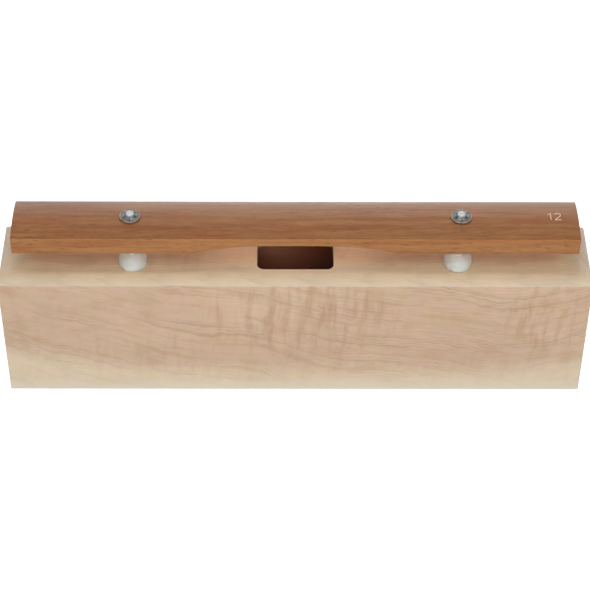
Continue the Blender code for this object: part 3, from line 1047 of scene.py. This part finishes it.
def groove(points):
    """A round-bottomed cutter along points on the bar's crown."""
    proud = GROOVE_PROUD * GROOVE_RADIUS
    spots = [Vector((x, BAR_MIDDLE.y + y, BAR_UNDER + crown(y) + proud)) for x, y in points]
    ring = arc((0, 0), (GROOVE_RADIUS, GROOVE_RADIUS), 0, 360, GROOVE_STEPS)[:-1]
    loops = []
    for k, spot in enumerate(spots):
        before = spots[max(0, k - 1)]
        after = spots[min(len(spots) - 1, k + 1)]
        ahead = (after - before).normalized()
        side = ahead.cross(Vector((0, 0, 1))).normalized()
        up = side.cross(ahead)
        loops.append([spot + side * u + up * w for u, w in ring])
    return loft(loops)


def number_strokes():
    """A plain two-figure number near the bar's right end, read from the front."""
    left, low, high = NUMBER_LEFT, NUMBER_LOW, NUMBER_LOW + NUMBER_TALL
    stem = left + STEM_X
    one = [[(left, low + FLAG_SHARE * NUMBER_TALL), (stem, high)], [(stem, high), (stem, low)]]
    bowl_high = BOWL_SHARE * NUMBER_TALL
    bowl = arc((left + BOWL_X, high - bowl_high), (BOWL_RADIUS, bowl_high), *BOWL_TURN, WIDE_ARC_STEPS)
    start, end = ((left + x, low) for x in TWO_FOOT)
    return one + [bowl + [start], [start, end]]


def build_bar():
    """The arched bar with its pin holes, spot faces and number."""
    wood = BarWood("bar_wood_grain").coat()
    mark = raw_mark("engraved_line")
    bm = loft([bar_loop(x, inset) for x, inset in bar_stations()])
    bar = add_piece("arched_bar", bm, wood, "bar", "tone_bar")
    steps = (
        (SPOT_FACE_RADIUS, BAR_HIGH.z + CUT_PAST), (SPOT_FACE_RADIUS, SPOT_FACE),
        (BAR_HOLE_RADIUS, SPOT_FACE), (BAR_HOLE_RADIUS, BAR_UNDER - CUT_PAST),
    )
    cutters = [(round_cutter(PINS[side], steps), wood) for side in SIDES]
    cutters += [(groove(points), mark) for points in number_strokes()]
    carve(bar, cutters)


def post_profile(side):
    """Spigot, foot, collar and pin in one moulding, from the spigot's end to the pin's dome."""
    low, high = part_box(side + "_post")
    foot_low = BOX_HIGH.z + GLUE_LINE
    foot_top = BOX_HIGH.z + SEAT + FOOT_HEIGHT
    collar_low = foot_top + NECK_LENGTH
    collar_top = collar_low + COLLAR_HEIGHT
    dome = (FOOT_RADIUS - PIN_RADIUS, FOOT_DOME)
    rounding = (MOULD_EASE, MOULD_EASE)
    neck = PIN_RADIUS + MOULD_EASE
    collar = COLLAR_RADIUS - MOULD_EASE
    profile = [
        (0.0, low.z), (SPIGOT_RADIUS - SPIGOT_CHAMFER, low.z),
        (SPIGOT_RADIUS, low.z + SPIGOT_CHAMFER), (SPIGOT_RADIUS, foot_low),
    ]
    profile += arc((FOOT_RADIUS - MOULD_EASE, foot_low + MOULD_EASE), rounding, 270, 360)
    profile += arc((PIN_RADIUS, foot_top - FOOT_DOME), dome, 0, 86, DOME_STEPS)
    profile += arc((neck, foot_top + MOULD_EASE), rounding, 266, 180)
    profile += arc((neck, collar_low - MOULD_EASE), rounding, 180, 90)
    profile += arc((collar, collar_low + MOULD_EASE), rounding, 270, 360)
    profile += arc((collar, collar_top - MOULD_EASE), rounding, 0, 90)
    profile += [(PIN_RADIUS, collar_top)]
    profile += arc((0.0, high.z - PIN_DOME), (PIN_RADIUS, PIN_DOME), 0, 84, WIDE_ARC_STEPS)
    return profile + [(0.0, high.z)]


def spacer_profile():
    """A soft tube, squeezed a little barrel-shaped between collar and bar."""
    low = BOX_HIGH.z + SEAT + FOOT_HEIGHT + NECK_LENGTH + COLLAR_HEIGHT + GLUE_LINE
    high = BAR_UNDER - GLUE_LINE
    bore, radius = SPACER_RADII
    wide, deep = SPACER_BORE_LIP
    outer = []
    for k in range(SPACER_STEPS + 1):
        share = k / SPACER_STEPS
        drawn = SPACER_BULGE * (1 - sin(pi * share))
        lip = SPACER_LIP if k in (0, SPACER_STEPS) else 0.0
        outer.append((radius - drawn - lip, low + (high - low) * share))
    return [
        (bore, low + deep), (bore + wide, low), *outer, (bore + wide, high), (bore, high - deep),
        (bore, low + deep),
    ]


def felt_ring(side):
    """A punched felt ring with a soft, uneven edge."""
    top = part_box(side + "_felt_ring")[1].z
    bottom = SPOT_FACE + GLUE_LINE
    bore, radius = FELT_RADII
    inner, outer = bore + FELT_EASE, radius - FELT_EASE
    low, high = bottom + FELT_EASE, top - FELT_EASE
    rounding = (FELT_EASE, FELT_EASE)
    profile = arc((outer, low), rounding, 270, 360, FELT_ARC_STEPS)
    profile += arc((outer, high), rounding, 0, 90, FELT_ARC_STEPS)
    profile += [((bore + radius) / 2, top)]
    profile += arc((inner, high), rounding, 90, 180, FELT_ARC_STEPS)
    profile += arc((inner, low), rounding, 180, 270, FELT_ARC_STEPS)
    profile.append(profile[0])
    bm = turned(profile, PINS[side], FELT_STEPS)
    for vert in bm.verts:
        if vert.co.z > bottom + FELT_FLAT:
            vert.co += noise.noise_vector(vert.co * FELT_FUZZ_GRAIN) * FELT_FUZZ
        vert.co.z = min(vert.co.z, top + FELT_PROUD)
    return bm


def in_washer(ring, column):
    """True for a cell of the washer's sheet, and False in its slots and past its edges."""
    if not 0 <= ring < len(WASHER_RINGS) - 1:
        return False
    return ring >= ROOT_RING or column % (TOOTH_STEPS + SLOT_STEPS) < TOOTH_STEPS


def star_washer(side):
    """A pressed ring whose inner teeth are bent up to bite on the pin."""
    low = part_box(side + "_star_washer")[0].z
    centre = PINS[side]
    columns = TOOTH_COUNT * (TOOTH_STEPS + SLOT_STEPS)
    bm = bmesh.new()
    verts = {}

    def corner(ring, column, level):
        key = (ring, column % columns, level)
        if key not in verts:
            angle = 2 * pi * column / columns + radians(TOOTH_TURN)
            radius, rise = WASHER_RINGS[ring]
            x, y = centre.x + radius * cos(angle), centre.y + radius * sin(angle)
            verts[key] = bm.verts.new((x, y, low + rise + level * WASHER_THICKNESS))
        return verts[key]

    for ring in range(len(WASHER_RINGS) - 1):
        for column in range(columns):
            if not in_washer(ring, column):
                continue
            inner, outer = (ring, column), (ring + 1, column)
            inner_next, outer_next = (ring, column + 1), (ring + 1, column + 1)
            for level in (0, 1):
                spots = (inner, outer, outer_next, inner_next)
                bm.faces.new([corner(*spot, level) for spot in spots])
            walls = (
                (ring - 1, column, inner, inner_next), (ring + 1, column, outer, outer_next),
                (ring, column - 1, inner, outer), (ring, column + 1, inner_next, outer_next),
            )
            for next_ring, next_column, first, second in walls:
                if not in_washer(next_ring, next_column):
                    ends = ((first, 0), (second, 0), (second, 1), (first, 1))
                    bm.faces.new([corner(*spot, level) for spot, level in ends])
    bmesh.ops.recalc_face_normals(bm, faces=bm.faces)
    keen = [e for e in bm.edges if e.is_manifold and e.calc_face_angle() > radians(KEEN_ANGLE)]
    bmesh.ops.bevel(
        bm, geom=keen, offset=WASHER_EASE, segments=1, profile=0.5, affect="EDGES",
        clamp_overlap=True,
    )
    return bm


def build_supports():
    """At each pin: the post, the spacer tube, the felt ring and the star washer."""
    nylon = moulded("nylon_white", *NYLON)
    rubber = moulded("rubber_white", *RUBBER)
    cloth = felt("felt_dark")
    steel = spring_steel("steel_spring")
    for side in SIDES:
        post = turned(post_profile(side), PINS[side])
        add_piece(side + "_foot_pin", post, nylon, "resonator", side + "_post")
        tube = turned(spacer_profile(), PINS[side])
        add_piece(side + "_tube", tube, rubber, "resonator", side + "_spacer")
        add_piece(side + "_felt", felt_ring(side), cloth, "bar", side + "_felt_ring")
        washer = add_piece(
            side + "_washer", star_washer(side), steel, "resonator",
            side + "_star_washer", WASHER_SMOOTH,
        )
        rounding = washer.modifiers.new("rounding", "SUBSURF")
        rounding.levels = rounding.render_levels = 2


def build_floor():
    """A white floor that glows more with distance."""
    bm = bmesh.new()
    corners = ((-1, -1), (1, -1), (1, 1), (-1, 1))
    bm.faces.new([bm.verts.new((x * FLOOR_REACH, y * FLOOR_REACH, -FLOOR_DROP)) for x, y in corners])
    material, place = new_material("floor_white")
    tree = material.node_tree
    glimmer = call("MapRange", length(*separate(place)), *FLOOR_GLOW)
    glow = call("Emission", WHITE, times(seen_white(tree), glimmer))
    paint = fill(add_node(tree, "BsdfDiffuse"), {"Color": FLOOR_PAINT})[0]
    cover("Material Output", call("AddShader", paint, glow))
    mesh_object("floor", bm, material)


def build_world():
    """Pale light, stronger overhead; seen directly it is white, and in gloss darker overhead."""
    world = bpy.data.worlds.new("studio")
    bpy.context.scene.world = world
    height = separate(coordinates(world)["Generated"])[2]
    tree = world.node_tree
    direct = add_node(tree, "LightPath").outputs["Is Camera Ray"]
    level = ease(direct, 0.0, 1.0, ease(height, *GLOSS), 1.0)
    ambient = call("Background", WHITE, ease(height, *AMBIENT))
    backdrop = call("Background", WHITE, level)
    cover("World Output", call("MixShader", seen_white(tree), ambient, backdrop))


def build_lights():
    for name, (place, size, power, glossy) in LAMPS.items():
        data = bpy.data.lights.new(name, "AREA")
        data.shape = "RECTANGLE"
        data.size, data.size_y = size
        data.energy = power
        lamp = add_object(name, data)
        lamp.location = place
        lamp.rotation_euler = (LAMP_AIM - Vector(place)).to_track_quat("-Z", "Y").to_euler()
        lamp.visible_camera = False
        lamp.visible_glossy = glossy


def build_camera():
    data = bpy.data.cameras.new("camera")
    data.sensor_width = CAMERA_SENSOR
    data.lens = CAMERA_LENS
    camera = add_object("camera", data)
    turn = Matrix.Rotation(radians(-CAMERA_YAW), 3, "Z")
    turn = turn @ Matrix.Rotation(radians(90 - CAMERA_PITCH), 3, "X")
    turn = turn @ Matrix.Rotation(radians(-CAMERA_ROLL), 3, "Z")
    camera.rotation_euler = turn.to_euler()
    camera.location = CAMERA_PLACE
    bpy.context.scene.camera = camera


build_box()
build_bar()
build_supports()
build_floor()
build_world()
build_lights()
build_camera()
bpy.context.scene.view_settings.view_transform = "Standard"
